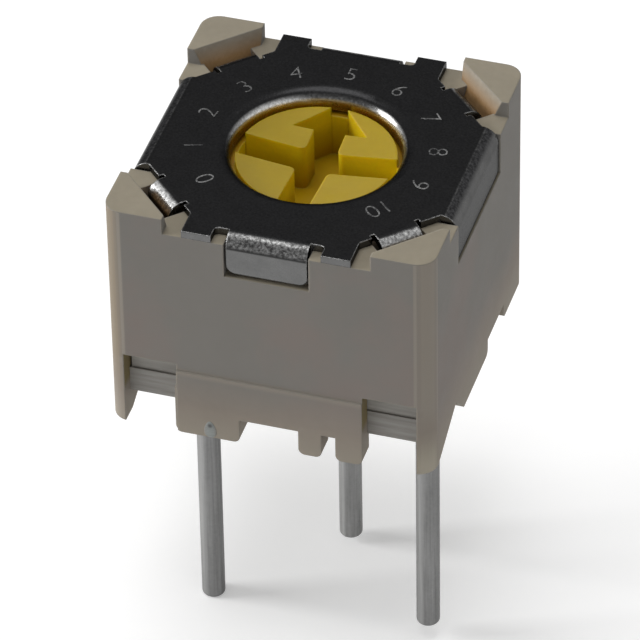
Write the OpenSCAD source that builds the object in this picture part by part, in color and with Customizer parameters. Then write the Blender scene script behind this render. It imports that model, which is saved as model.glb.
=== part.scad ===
// Single turn trimmer potentiometer, 7 mm square, top adjust, three round leads.
// Origin at the centre of the housing on the plane of its standoff feet, +Z up, +Y away from the front leads.

/* [Housing] */
// Width of the housing in X
body_w = 7.0; // [6.8:0.1:8]
// Depth of the housing in Y
body_d = 7.0; // [6.8:0.1:8]
// Radius of the vertical corners
body_corner_r = 0.4; // [0.2:0.05:0.6]
// Height of the shoulder that carries the cover, above the feet
shoulder_z = 5.13; // [5.05:0.01:5.6]
// Height of the lower edge of the walls above the feet
wall_bottom_z = 0.6; // [0.5:0.05:0.8]
// Thickness of the walls round the substrate pocket
wall_t = 0.35; // [0.3:0.01:0.4]
// Height of the ceiling of the substrate pocket
pocket_top_z = 1.8; // [1.75:0.01:1.9]
// Amount by which the lower front panel stands proud
panel_proud = 0.04; // [0.02:0.01:0.08]
// Height of the top edge of the proud panel
panel_top_z = 1.62; // [1.4:0.01:1.7]

/* [Corner posts] */
// Height of the corner posts above the shoulder
post_rise = 0.37; // [0.2:0.01:0.5]
// Length of each post along the sides of the housing
post_len = 1.3; // [1.1:0.05:1.4]
// Inward lean of the inner face from its top to the bottom of the pocket
post_lean = 0.28; // [0.1:0.01:0.35]

/* [Feet] */
// Distance of the centre of the wide foot from the inner edge of the left window
foot_1_in = 0.65; // [0.6:0.01:0.7]
// Width of the wide foot
foot_1_w = 1.4; // [1.35:0.01:1.42]
// Depth of the wide foot
foot_1_d = 1.15; // [1.1:0.01:1.3]
// Distance of the centre of the narrow foot from the inner edge of the right window
foot_2_in = 1.13; // [1.1:0.01:1.18]
// Width of the narrow foot
foot_2_w = 0.5; // [0.4:0.01:0.55]
// Width of the third front foot, which ends at the inner edge of the right window
foot_3_w = 0.58; // [0.5:0.01:0.6]
// Depth of the two narrower front feet
foot_d = 0.45; // [0.4:0.01:0.6]
// Radius of the lower corners of the feet
foot_r = 0.14; // [0.08:0.01:0.2]
// Width of the corner legs at the front, beside the windows
leg_w = 0.35; // [0.32:0.01:0.4]
// Flat length of the tip of a front corner leg
leg_tip = 0.45; // [0.4:0.01:0.5]
// Length over which the tip of the leg runs up into the side wall
leg_ramp = 1.3; // [1:0.05:1.4]
// Front edge of the middle foot of each side wall
side_foot_y0 = -1.15; // [-1.2:0.01:-1.1]
// Back edge of the middle foot of each side wall
side_foot_y1 = 0.68; // [0.6:0.01:0.8]
// Height of the side wall between its middle foot and its back foot
side_gap_z = 0.38; // [0.3:0.01:0.45]
// Length of the back corner foot along the side wall
back_foot_len = 1.6; // [1.5:0.05:1.7]

/* [Windows] */
// Width of the two windows in the front wall
window_w = 1.15; // [1:0.01:1.15]
// Height of the upper edge of the windows
window_top_z = 1.77; // [1.7:0.01:1.8]

/* [Cover] */
// Thickness of the cover sheet
cover_t = 0.17; // [0.12:0.01:0.2]
// Distance of the outer faces of the flanges and tabs behind the housing faces
cover_inset = 0.03; // [0.02:0.01:0.05]
// Distance of the ends of the side flanges from the front and back faces
flange_end = 1.95; // [1.9:0.01:2.05]
// Outer bend radius of the side flanges
flange_bend_r = 0.36; // [0.3:0.01:0.4]
// Drop of the side flanges below the cover face
flange_drop = 1.12; // [1:0.01:1.2]
// Gap between the front and back tabs and the lugs beside them
lug_gap = 0.305; // [0.28:0.005:0.35]
// Outer bend radius of the front and back tabs
tab_bend_r = 0.3; // [0.25:0.01:0.35]
// Drop of the front and back tabs below the cover face
tab_drop = 0.88; // [0.8:0.01:0.95]
// Radius of the lower corners of the tabs
tab_corner_r = 0.2; // [0.1:0.01:0.25]
// Width of the lugs
lug_w = 0.625; // [0.58:0.005:0.65]
// Distance of the outer edges of the lugs from the side faces
lug_end = 1.71; // [1.7:0.01:1.8]
// Radius of the inner corners of the notches beside the lugs
notch_r = 0.1; // [0.05:0.01:0.12]
// Half length of the corner tabs
corner_tab_half = 0.46; // [0.4:0.01:0.48]
// Shift of the corner tabs towards the side flanges
corner_tab_shift = 0.08; // [0:0.01:0.12]
// Outer bend radius of the corner tabs, which also sets how far out the posts begin
corner_bend_r = 0.31; // [0.28:0.01:0.34]
// Drop of the corner tabs below the cover face
corner_tab_drop = 0.7; // [0.6:0.01:0.85]
// Width and depth of the relief notches beside the corner tabs
relief = 0.1; // [0.06:0.01:0.12]
// Radial gap between the head of the rotor and the drawn rim of the hole
hole_gap = 0.1; // [0.08:0.01:0.15]
// Bend radius of the drawn rim at its upper side
rim_bend_r = 0.3; // [0.25:0.01:0.35]
// Depth of the drawn rim below the cover face
rim_drop = 0.42; // [0.4:0.01:0.46]

/* [Rotor] */
// Distance of the rotor barrel from the nearer faces of the housing
barrel_edge = 1.4; // [1.35:0.01:1.45]
// Radial step from the barrel in to the slotted head
head_step = 0.42; // [0.4:0.01:0.5]
// Depth of the edge of the head's face below the cover face
head_sink = 0.28; // [0.25:0.01:0.4]
// Further depth of the dished face at the axis
face_dish = 0.2; // [0:0.01:0.25]
// Depth of the rotor's shoulder below the cover face
shoulder_sink = 0.5; // [0.48:0.01:0.6]
// Radial step from the barrel out to the flange below it
flange_step = 0.3; // [0.25:0.01:0.35]
// Height of the ledge of the housing that stops the flange
ledge_z = 3.0; // [2.9:0.01:3.1]
// Thickness of the flange
flange_t = 0.52; // [0.45:0.01:0.55]
// Half width of the arms of the driver slot
slot_half = 0.34; // [0.28:0.01:0.36]
// Depth of the driver slot
slot_depth = 1.2; // [1:0.01:1.25]
// Round of the inner corners of the four lands
land_r = 0.12; // [0.06:0.01:0.15]
// Half width of the arrow head at the end of the back arm
arrow_half = 0.8; // [0.7:0.01:0.85]
// Length of the arrow head
arrow_len = 0.94; // [0.85:0.01:1]
// Reach of the arrow's point beyond the head
arrow_reach = 0.2; // [0.1:0.01:0.25]
// Radial reach of the stop lug beyond the flange
stop_reach = 0.26; // [0.2:0.01:0.28]
// Half angle of the rotor's stop lug, in degrees
stop_half_angle = 12; // [10:1:14]
// Half angle of the housing's stop, in degrees
housing_stop_half_angle = 36; // [34:1:37]

/* [Seal] */
// Depth of the groove for the seal ring
groove_depth = 0.42; // [0.35:0.01:0.45]
// Width of the groove
groove_w = 0.5; // [0.45:0.01:0.52]
// Height of the groove above the ledge
groove_rise = 0.12; // [0.1:0.01:0.15]

/* [Clearances] */
// Radial running clearance of the rotor in the housing
run_clear = 0.05; // [0.03:0.01:0.08]
// Clearance of pieces that are fitted together and stay still
fit_clear = 0.04; // [0.03:0.01:0.06]
// Lift of the wiper contacts above the films
contact_clear = 0.01; // [0.005:0.005:0.02]

/* [Substrate] */
// Thickness of the ceramic substrate
substrate_t = 0.6; // [0.5:0.01:0.62]
// Thickness of the printed films
film_t = 0.03; // [0.02:0.01:0.03]
// Distance of the middle of the resistive track inside the edge of the rotor flange
track_in = 0.4; // [0.35:0.01:0.5]
// Width of the resistive track
track_w = 0.5; // [0.4:0.01:0.55]
// Half angle of the resistive track, in degrees
track_half_angle = 128; // [125:1:130]
// Further angle covered by each end electrode
electrode_angle = 12; // [10:1:14]
// Radius of the collector film
collector_r = 1.05; // [1.02:0.01:1.1]

/* [Leads] */
// Radius of the leads
lead_r = 0.25; // [0.22:0.01:0.25]
// Half width of the squared part of the leads inside the housing
shank_half = 0.2; // [0.18:0.01:0.2]
// Distance of the first lead outside the centre of its foot
lead_1_out = 0.27; // [0.21:0.01:0.29]
// Distance of the third lead from the right face
lead_3_edge = 0.34; // [0.33:0.01:0.45]
// Height above the feet at which the squared part of the third lead begins
lead_3_root = 0.15; // [0.1:0.01:0.18]
// Distance of both front leads from the front face
lead_row_edge = 0.8; // [0.78:0.01:0.82]
// Place of the second lead in X
lead_2_x = 0.7; // [0.66:0.01:0.72]
// Place of the second lead in Y
lead_2_y = -0.2; // [-0.25:0.01:0]
// Length of the first lead below the feet
lead_1_len = 5.06; // [4:0.02:6]
// Length of the second lead below the feet
lead_2_len = 4.92; // [4:0.02:6]
// Length of the third lead below the feet
lead_3_len = 4.7; // [4:0.02:6]
// Radius of the rounded tips of the leads
lead_tip_r = 0.08; // [0.04:0.01:0.1]
// Length of the flattened heads
lead_head_len = 0.75; // [0.65:0.01:0.8]
// Thickness of the flattened heads
lead_head_t = 0.2; // [0.15:0.01:0.22]
// Length of the solder on each head
solder_len = 0.3; // [0.25:0.01:0.35]
// Rise of the solder above what it covers
solder_rise = 0.06; // [0.04:0.01:0.08]

/* [Sealing] */
// Height of the free surface of the sealing resin above the feet
resin_bottom_z = 0.56; // [0.5:0.01:0.6]

/* [Wiper] */
// Thickness of the wiper sheet
wiper_t = 0.08; // [0.06:0.01:0.1]
// Radius of the wiper's mounting disc
wiper_disc_r = 1.3; // [1.25:0.01:1.35]
// Width of the wiper arms
wiper_arm_w = 0.4; // [0.3:0.01:0.45]
// Distance of the inner contact from the axis
wiper_inner_r = 0.45; // [0.4:0.01:0.5]
// Length of the root of each arm under the mounting disc
wiper_root = 0.24; // [0.2:0.01:0.3]

/* [Hidden] */
$fn = 64;
half_w = body_w / 2;
half_d = body_d / 2;
// Overrun of cutting solids past the faces that they cut
over = 0.5;
// Ratio of the sum of X and Y to the distance along a slanted line
slant = sqrt(2);
cover_z = shoulder_z + cover_t;
post_top_z = shoulder_z + post_rise;
substrate_z1 = pocket_top_z - fit_clear;
substrate_z0 = substrate_z1 - substrate_t;
film_z = substrate_z1 + film_t;
// Inner faces of the pocket walls
pocket_x = half_w - wall_t;
pocket_y = half_d - wall_t;
// Window edges, measured from the centre
window_x1 = half_w - leg_w;
window_x0 = window_x1 - window_w;
// Centres of the front feet
foot_1_x = foot_1_in - window_x0;
foot_2_x = window_x0 - foot_2_in;
foot_3_x = window_x0 - foot_3_w / 2;
// Places of the front leads
lead_1_x = foot_1_x - lead_1_out;
lead_3_x = half_w - lead_3_edge;
lead_row_y = lead_row_edge - half_d;
// Length by which a bend runs into its flat, so that both are one sheet
bend_overlap = 0.001;
// Cover outline
flange_x = half_w - cover_inset;
flange_bend_x = flange_x - flange_bend_r;
flange_half = half_d - flange_end;
tab_y = half_d - cover_inset;
tab_bend_y = tab_y - tab_bend_r;
lug_x1 = half_w - lug_end;
lug_x0 = lug_x1 - lug_w;
tab_half = lug_x0 - lug_gap;
// Distance of the slanted corner edges from the axis, measured square to the edge
corner_dist = (flange_bend_x + flange_half) / slant;
// Places along the slanted edge of its ends and of its middle, from their X and Y
lug_corner_y = flange_bend_x + flange_half - lug_x1;
corner_along_0 = (lug_x1 - lug_corner_y) / slant;
corner_along_1 = (flange_bend_x - flange_half) / slant;
corner_tab_mid = (corner_along_0 + corner_along_1) / 2 - corner_tab_shift;
// Posts
post_foot_dist = corner_dist + corner_bend_r + fit_clear;
post_dist = post_foot_dist + post_lean;
corner_pocket_z = cover_z - corner_tab_drop - fit_clear;
// Rotor radii, which all follow the barrel
barrel_r = min(half_w, half_d) - barrel_edge;
head_r = barrel_r - head_step;
hole_r = head_r + hole_gap;
flange_r = barrel_r + flange_step;
groove_r = barrel_r - groove_depth;
track_r = flange_r - track_in;
arrow_tip = head_r + arrow_reach;
arrow_base = arrow_tip - arrow_len;
// Rotor heights
head_z = cover_z - head_sink;
rotor_shoulder_z = cover_z - shoulder_sink;
flange_z1 = ledge_z - run_clear;
flange_z0 = flange_z1 - flange_t;
groove_z0 = ledge_z + groove_rise;
bore_r = barrel_r + run_clear;
stop_r = flange_r + stop_reach;
chamber_r = stop_r + run_clear;
seal_r = (bore_r - run_clear / 2 - groove_r) / 2 + fit_clear;
seal_centre = bore_r - run_clear / 2 - seal_r;
// Lead heads
head_slot_top = film_z + lead_head_t + solder_rise + fit_clear;
head_slot_half = lead_r + fit_clear;
shank_hole_r = lead_r + fit_clear;

// Points of an arc round c, from angle a0 to a1
function arc(c, r, a0, a1, n = 6) =
    [for (i = [0:n]) c + r * [cos(a0 + (a1 - a0) * i / n), sin(a0 + (a1 - a0) * i / n)]];

// Outline that hangs from z1 down to z0, with both lower corners rounded
function hanging(x0, x1, z0, z1, r) =
    concat([[x0, z1]], arc([x0 + r, z0 + r], r, 180, 270), arc([x1 - r, z0 + r], r, 270, 360), [[x1, z1]]);

// Sector of a ring between the angles a0 and a1
module ring_sector(r0, r1, a0, a1, h) {
    linear_extrude(h)
        polygon(concat(arc([0, 0], r1, a0, a1, 48), arc([0, 0], r0, a1, a0, 48)));
}

// Plan of the housing with rounded corners
module body_plan() {
    r = body_corner_r;
    polygon(concat(
        arc([half_w - r, half_d - r], r, 0, 90, 8),
        arc([r - half_w, half_d - r], r, 90, 180, 8),
        arc([r - half_w, r - half_d], r, 180, 270, 8),
        arc([half_w - r, r - half_d], r, 270, 360, 8)));
}

module body_prism(z0, z1) {
    translate([0, 0, z0])
        linear_extrude(z1 - z0)
            body_plan();
}

// Plate along X and Z with the given outline, between y0 and y1
module slab_xz(points, y0, y1) {
    translate([0, y1, 0])
        rotate([90, 0, 0])
            linear_extrude(y1 - y0)
                polygon(points);
}

// Plate along Y and Z with the given outline, between x0 and x1
module slab_yz(points, x0, x1) {
    translate([x0, 0, 0])
        rotate([90, 0, 90])
            linear_extrude(x1 - x0)
                polygon(points);
}

// Copies of a shape at the left and right, or at all four corners
module both_sides() {
    children();
    mirror([1, 0, 0])
        children();
}

module both_ends() {
    children();
    mirror([0, 1, 0])
        children();
}

module four_corners() {
    both_ends()
        both_sides()
            children();
}

// Turns X to point square out of the slanted corner edge, with Y along the edge to the flange
module at_corner() {
    multmatrix([
        [cos(45), sin(45), 0, 0],
        [sin(45), -cos(45), 0, 0],
        [0, 0, 1, 0],
        [0, 0, 0, 1]])
        children();
}

// Corner post with its leaning inner face
module post() {
    x0 = half_w - post_len;
    y0 = half_d - post_len;
    intersection() {
        body_prism(shoulder_z - over, post_top_z);
        translate([x0, y0, shoulder_z - over])
            cube([post_len, post_len, post_rise + over]);
        rotate([0, 0, 45])
            post_wedge();
    }
}

// Prism that keeps what lies outside the leaning inner face
module post_wedge() {
    depth = post_top_z - corner_pocket_z;
    reach = half_w + half_d;
    slab_xz([
        [post_dist, post_top_z],
        [post_foot_dist, corner_pocket_z],
        [post_foot_dist, corner_pocket_z - depth],
        [reach, corner_pocket_z - depth],
        [reach, post_top_z]], -reach, reach);
}

// Pocket behind the slanted edge that takes a corner tab
module corner_pocket() {
    half = corner_tab_half + relief;
    at_corner()
        translate([0, corner_tab_mid, 0])
            slab_xz([
                [corner_dist - relief, corner_pocket_z],
                [post_foot_dist, corner_pocket_z],
                [post_dist, post_top_z],
                [post_dist, post_top_z + over],
                [corner_dist - relief, post_top_z + over]], -half, half);
}

// Recess for one side flange, with room for its bend
module flange_recess() {
    half = flange_half + fit_clear;
    translate([flange_x - cover_t - fit_clear, -half, cover_z - flange_drop - fit_clear])
        cube([over, 2 * half, body_d]);
    translate([flange_bend_x - fit_clear, -half, cover_z - flange_bend_r - fit_clear])
        cube([body_w, 2 * half, body_d]);
}

// Notch for the front or back tab, with room for its bend
module tab_notch() {
    half = tab_half + fit_clear;
    drop = tab_drop + relief;
    translate([-half, tab_y - cover_t - fit_clear, cover_z - drop])
        cube([2 * half, over, body_d]);
    translate([-half, tab_bend_y - fit_clear, cover_z - tab_bend_r - fit_clear])
        cube([2 * half, body_d, body_d]);
}

// Front window beside a corner leg
module window() {
    translate([window_x0, -half_d - over, wall_bottom_z - over])
        cube([window_w, wall_t + over + fit_clear, window_top_z - wall_bottom_z + over]);
}

// Foot of the front wall
module front_foot(x, w, d) {
    intersection() {
        slab_xz(hanging(x - w / 2, x + w / 2, 0, substrate_z0, foot_r), -half_d - panel_proud, d - half_d);
        body_prism_grown(0, substrate_z0);
    }
}

// Body prism that reaches out to the face of the proud panel
module body_prism_grown(z0, z1) {
    body_prism(z0, z1);
    translate([-window_x0, -half_d - panel_proud, z0])
        cube([2 * window_x0, half_d, z1 - z0]);
}

// Legs and feet of one side wall, as one outline along Y
module side_feet() {
    top = substrate_z0;
    ramp_y = leg_tip + leg_ramp - half_d;
    intersection() {
        body_prism(0, top);
        union() {
            slab_yz(concat(
                [[-half_d, top], [-half_d, 0], [leg_tip - half_d, 0], [ramp_y, wall_bottom_z]],
                arc([side_foot_y0 + foot_r * tan(22.5), foot_r], foot_r, 225, 270),
                arc([side_foot_y1 - foot_r, foot_r], foot_r, 270, 360),
                [[side_foot_y1, top]]), pocket_x, half_w);
            slab_yz(hanging(half_d - back_foot_len, half_d, 0, top, foot_r), pocket_x, half_w);
            translate([pocket_x, side_foot_y1 - foot_r, side_gap_z])
                cube([wall_t, half_d - side_foot_y1, top - side_gap_z]);
        }
    }
}

// Feet at the ends of the back wall
module back_feet() {
    intersection() {
        body_prism(0, substrate_z0);
        slab_xz(hanging(half_w - back_foot_len, half_w, 0, substrate_z0, foot_r), pocket_y, half_d);
    }
}

// Everything of the housing below the substrate
module housing_feet() {
    front_foot(foot_1_x, foot_1_w, foot_1_d);
    front_foot(foot_2_x, foot_2_w, foot_d);
    front_foot(foot_3_x, foot_3_w, foot_d);
    both_sides()
        side_feet();
    both_sides()
        back_feet();
}

// Slot in the pocket ceiling for the flattened head of a front lead, which points to -X
module head_slot(x) {
    translate([x - lead_head_len - fit_clear, lead_row_y - head_slot_half, pocket_top_z - over])
        cube([lead_head_len + fit_clear, 2 * head_slot_half, head_slot_top - pocket_top_z + over]);
    translate([x, lead_row_y - head_slot_half, pocket_top_z - over])
        cube([shank_half, 2 * head_slot_half, head_slot_top - pocket_top_z + over]);
}

// Stop in the chamber, at the front
module housing_stop() {
    translate([0, 0, pocket_top_z + fit_clear])
        ring_sector(flange_r + run_clear, chamber_r + wall_t / 2, 270 - housing_stop_half_angle,
            270 + housing_stop_half_angle, ledge_z + wall_t / 2 - pocket_top_z - fit_clear);
}

// Squared part of a lead at the given place, between two heights
module shank(x, y, z0, z1) {
    translate([x - shank_half, y - shank_half, z0])
        cube([2 * shank_half, 2 * shank_half, z1 - z0]);
}

module lead_bores() {
    for (x = [lead_1_x, lead_3_x])
        shank(x, lead_row_y, -over, pocket_top_z);
    translate([lead_3_x, lead_row_y, -over])
        cylinder(r = shank_hole_r, h = lead_3_root + over);
}

module housing() {
    color("#a39d92")
        difference() {
            union() {
                difference() {
                    union() {
                        body_prism(wall_bottom_z, shoulder_z);
                        translate([-window_x0, -half_d - panel_proud, wall_bottom_z])
                            cube([2 * window_x0, wall_t, panel_top_z - wall_bottom_z]);
                        four_corners()
                            post();
                    }
                    translate([-pocket_x, -pocket_y, wall_bottom_z - over])
                        cube([2 * pocket_x, 2 * pocket_y, pocket_top_z - wall_bottom_z + over]);
                    translate([0, 0, pocket_top_z - over])
                        cylinder(r = chamber_r, h = ledge_z - pocket_top_z + over);
                    cylinder(r = bore_r, h = post_top_z + over);
                    both_sides()
                        window();
                    both_sides()
                        flange_recess();
                    both_ends()
                        tab_notch();
                    four_corners()
                        corner_pocket();
                    head_slot(lead_1_x);
                    head_slot(lead_3_x);
                }
                housing_feet();
                housing_stop();
            }
            lead_bores();
        }
}

// Outline of the flat of the cover in the quarter with positive X and Y
function cover_quarter() = concat([
    [flange_bend_x, 0],
    [flange_bend_x, flange_half],
    corner_point(corner_tab_mid + corner_tab_half + relief, 0),
    corner_point(corner_tab_mid + corner_tab_half + relief, relief),
    corner_point(corner_tab_mid + corner_tab_half, relief),
    corner_point(corner_tab_mid + corner_tab_half, 0),
    corner_point(corner_tab_mid - corner_tab_half, 0),
    corner_point(corner_tab_mid - corner_tab_half, relief),
    corner_point(corner_tab_mid - corner_tab_half - relief, relief),
    corner_point(corner_tab_mid - corner_tab_half - relief, 0)],
    arc([lug_x1 + notch_r, lug_corner_y + notch_r * (slant - 1)], notch_r, 225, 180),
    [[lug_x1, half_d], [lug_x0, half_d]],
    arc([lug_x0 - notch_r, tab_bend_y + notch_r], notch_r, 360, 270),
    [[0, tab_bend_y]]);

// Point on the slanted edge, at a place along it and a depth inside it
function corner_point(along, inside) =
    [(corner_dist - inside + along) / slant, (corner_dist - inside - along) / slant];

module cover_plan() {
    four_corners_2d()
        polygon(concat([[0, 0]], cover_quarter()));
}

module four_corners_2d() {
    for (sx = [0, 1])
        for (sy = [0, 1])
            mirror([sx, 0])
                mirror([0, sy])
                    children();
}

// Profile of a bend and its straight leg, with the bend starting at X = 0 and going down
module bend_profile(r, drop) {
    intersection() {
        translate([0, -r])
            difference() {
                circle(r = r);
                circle(r = r - cover_t);
            }
        translate([0, -r])
            square([r, r]);
    }
    translate([r - cover_t, -drop])
        square([cover_t, drop - r]);
    translate([-cover_t, -cover_t])
        square([cover_t + bend_overlap, cover_t]);
}

// Strip bent down along an edge at the given distance from the axis, pointing to +X
module bent_strip(dist, half, r, drop) {
    translate([dist, half, cover_z])
        rotate([90, 0, 0])
            linear_extrude(2 * half)
                bend_profile(r, drop);
}

// Rounds the lower corners of a bent strip
module strip_trim(dist, half, drop, r) {
    translate([dist - cover_t, 0, cover_z])
        rotate([90, 0, 90])
            linear_extrude(2 * half)
                polygon(hanging(-half, half, -drop, 0, r));
}

module rounded_strip(dist, half, r, drop, corner) {
    intersection() {
        bent_strip(dist, half, r, drop);
        strip_trim(dist, half, drop, corner);
    }
}

// Drawn rim of the hole
module cover_rim() {
    ring_r = hole_r + rim_bend_r;
    translate([0, 0, cover_z])
        rotate_extrude() {
            intersection() {
                translate([ring_r, -rim_bend_r])
                    difference() {
                        circle(r = rim_bend_r);
                        circle(r = rim_bend_r - cover_t);
                    }
                translate([hole_r, -rim_bend_r])
                    square(rim_bend_r);
            }
            translate([hole_r, -rim_drop])
                square([cover_t, rim_drop - rim_bend_r]);
        }
}

module cover() {
    color("#35363a")
        union() {
            difference() {
                translate([0, 0, shoulder_z])
                    linear_extrude(cover_t)
                        cover_plan();
                translate([0, 0, shoulder_z - over])
                    cylinder(r = hole_r + rim_bend_r, h = 2 * over);
            }
            cover_rim();
            both_sides()
                rounded_strip(flange_bend_x, flange_half, flange_bend_r, flange_drop, tab_corner_r);
            rotate([0, 0, 90])
                both_sides()
                    rounded_strip(tab_bend_y, tab_half, tab_bend_r, tab_drop, tab_corner_r);
            four_corners()
                at_corner()
                    translate([0, corner_tab_mid, 0])
                        rounded_strip(corner_dist, corner_tab_half, corner_bend_r, corner_tab_drop, relief);
        }
}

// Rounded corner of a land, at the sides sx and sy of the axis, between the angles a0 and a1
function land_corner(sx, sy, a0, a1) =
    arc([sx, sy] * (slot_half + land_r), land_r, a0, a1, 4);

// Cross outline of the driver slot, whose back arm ends in an arrow head
module slot_plan() {
    reach = head_r + over;
    polygon(concat(
        [[reach, slot_half]],
        land_corner(1, 1, 270, 180),
        [[slot_half, arrow_base + slot_half], [-slot_half, arrow_base + slot_half]],
        land_corner(-1, 1, 360, 270),
        [[-reach, slot_half], [-reach, -slot_half]],
        land_corner(-1, -1, 90, 0),
        [[-slot_half, -reach], [slot_half, -reach]],
        land_corner(1, -1, 180, 90),
        [[reach, -slot_half]]));
    polygon([[-arrow_half, arrow_base], [arrow_half, arrow_base], [0, arrow_tip]]);
}

module rotor_blank() {
    rotate_extrude()
        polygon([
            [0, flange_z0],
            [flange_r, flange_z0],
            [flange_r, flange_z1],
            [barrel_r, flange_z1],
            [barrel_r, groove_z0],
            [groove_r, groove_z0],
            [groove_r, groove_z0 + groove_w],
            [barrel_r, groove_z0 + groove_w],
            [barrel_r, rotor_shoulder_z],
            [head_r, rotor_shoulder_z],
            [head_r, head_z],
            [0, head_z - face_dish]]);
}

module rotor() {
    color("#c8aa35")
        difference() {
            union() {
                rotor_blank();
                translate([0, 0, flange_z0])
                    ring_sector(flange_r - wall_t, stop_r, 90 - stop_half_angle, 90 + stop_half_angle, flange_t);
            }
            translate([0, 0, rotor_shoulder_z])
                linear_extrude(head_z - rotor_shoulder_z + over)
                    slot_plan();
            translate([0, 0, head_z - slot_depth])
                linear_extrude(slot_depth)
                    intersection() {
                        slot_plan();
                        circle(r = head_r);
                    }
        }
}

// Seal ring, flattened where it sits on the groove
module o_ring() {
    color("#5a2b20")
        translate([0, 0, groove_z0 + groove_w / 2])
            rotate_extrude()
                intersection() {
                    translate([seal_centre, 0])
                        circle(r = seal_r);
                    translate([groove_r, -groove_w / 2])
                        square([2 * seal_r, groove_w]);
                }
}

// Wiper arm along +Y, from a radius on the disc down to a contact on the film
module wiper_arm(r0, r1) {
    top = flange_z0;
    tip = film_z + contact_clear;
    out = r1 > r0 ? 1 : -1;
    slab_yz([
        [r0, top],
        [r1 - out * wiper_t, tip + wiper_t],
        [r1 + out * wiper_t, tip + wiper_t],
        [r1, tip],
        [r1 - out * wiper_t, tip],
        [r0 - out * wiper_t, top - wiper_t],
        [r0 - out * wiper_root, top - wiper_t],
        [r0 - out * wiper_root, top]], -wiper_arm_w / 2, wiper_arm_w / 2);
}

module wiper() {
    color("#b98a4a")
        union() {
            difference() {
                translate([0, 0, flange_z0 - wiper_t])
                    cylinder(r = wiper_disc_r, h = wiper_t);
                translate([0, 0, flange_z0 - 2 * wiper_t])
                    cylinder(r = wiper_disc_r - wiper_arm_w, h = 3 * wiper_t);
            }
            wiper_arm(wiper_disc_r - wiper_arm_w / 2, track_r);
            rotate([0, 0, 180])
                wiper_arm(wiper_disc_r - wiper_arm_w / 2, wiper_inner_r);
        }
}

module substrate() {
    color("#8c8a86")
        difference() {
            translate([fit_clear - pocket_x, fit_clear - pocket_y, substrate_z0])
                cube([2 * (pocket_x - fit_clear), 2 * (pocket_y - fit_clear), substrate_t]);
            for (place = [[lead_1_x, lead_row_y], [lead_3_x, lead_row_y], [lead_2_x, lead_2_y]])
                translate([place[0], place[1], substrate_z0 - over])
                    cylinder(r = shank_hole_r, h = substrate_t + 2 * over);
        }
}

// Film on the substrate
module film(a0, a1) {
    translate([0, 0, substrate_z1])
        ring_sector(track_r - track_w / 2, track_r + track_w / 2, a0, a1, film_t);
}

module resistive_track() {
    color("#2a2623")
        film(90 - track_half_angle, 90 + track_half_angle);
}

// End electrode: a sector at the end of the track and a run to the head of its lead
module end_electrode(a0, a1, x) {
    mid = (a0 + a1) / 2;
    pad_x1 = x - lead_r;
    pad_x0 = x - lead_head_len;
    run = [cos(mid), sin(mid)] * track_r;
    union() {
        film(a0, a1);
        translate([0, 0, substrate_z1])
            linear_extrude(film_t)
                polygon([
                    [pad_x0, lead_row_y - lead_r],
                    [pad_x1, lead_row_y - lead_r],
                    [pad_x1, lead_row_y + lead_r],
                    [run[0] + track_w / 4, run[1]],
                    [run[0] - track_w / 4, run[1]],
                    [pad_x0, lead_row_y + lead_r]]);
    }
}

module end_electrode_1() {
    color("#c9c6c0")
        end_electrode(90 + track_half_angle, 90 + track_half_angle + electrode_angle, lead_1_x);
}

module end_electrode_3() {
    color("#c9c6c0")
        end_electrode(90 - track_half_angle - electrode_angle, 90 - track_half_angle, lead_3_x);
}

module collector_electrode() {
    color("#c9c6c0")
        translate([0, 0, substrate_z1])
            cylinder(r = collector_r, h = film_t);
}

// Round lead with a rounded tip, up to the height where its squared part begins, and that part up to top
module lead_wire(len, root, top) {
    shank(0, 0, root, top);
    translate([0, 0, -len])
        rotate_extrude() {
            translate([0, lead_tip_r])
                square([lead_r, root + len - lead_tip_r]);
            square([lead_r - lead_tip_r, lead_tip_r]);
            translate([lead_r - lead_tip_r, lead_tip_r])
                circle(r = lead_tip_r);
        }
}

// Lead whose flattened head lies on its electrode
module front_lead(x, len, root) {
    translate([x, lead_row_y, 0])
        union() {
            lead_wire(len, root, film_z + lead_head_t);
            translate([-lead_head_len, -lead_r, film_z])
                cube([lead_head_len, 2 * lead_r, lead_head_t]);
        }
}

module lead_1() {
    color("#b4b2ad")
        front_lead(lead_1_x, lead_1_len, 0);
}

module lead_2() {
    color("#b4b2ad")
        translate([lead_2_x, lead_2_y, 0])
            union() {
                lead_wire(lead_2_len, resin_bottom_z, substrate_z1);
            }
}

module lead_3() {
    color("#b4b2ad")
        front_lead(lead_3_x, lead_3_len, lead_3_root);
}

// Solder over the end of the flattened head of a front lead
module head_solder(x) {
    translate([x - lead_head_len, lead_row_y - lead_r, film_z + lead_head_t])
        cube([solder_len, 2 * lead_r, solder_rise]);
}

module solder_1() {
    color("#d6d4cf")
        head_solder(lead_1_x);
}

module solder_3() {
    color("#d6d4cf")
        head_solder(lead_3_x);
}

// Cone of solder round the second lead under the substrate, with the filling of its hole
module solder_2_solid() {
    cone_r = lead_r + solder_len;
    translate([lead_2_x, lead_2_y, substrate_z0 - solder_len])
        rotate_extrude()
            polygon([
                [0, 0],
                [lead_r, 0],
                [cone_r, solder_len],
                [0, solder_len]]);
}

module solder_2() {
    color("#d6d4cf")
        difference() {
            union() {
                solder_2_solid();
                translate([lead_2_x, lead_2_y, substrate_z0 - over / 2])
                    cylinder(r = shank_hole_r, h = substrate_t + over / 2);
            }
            shank(lead_2_x, lead_2_y, substrate_z0 - over, substrate_z1 + over);
        }
}

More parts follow.
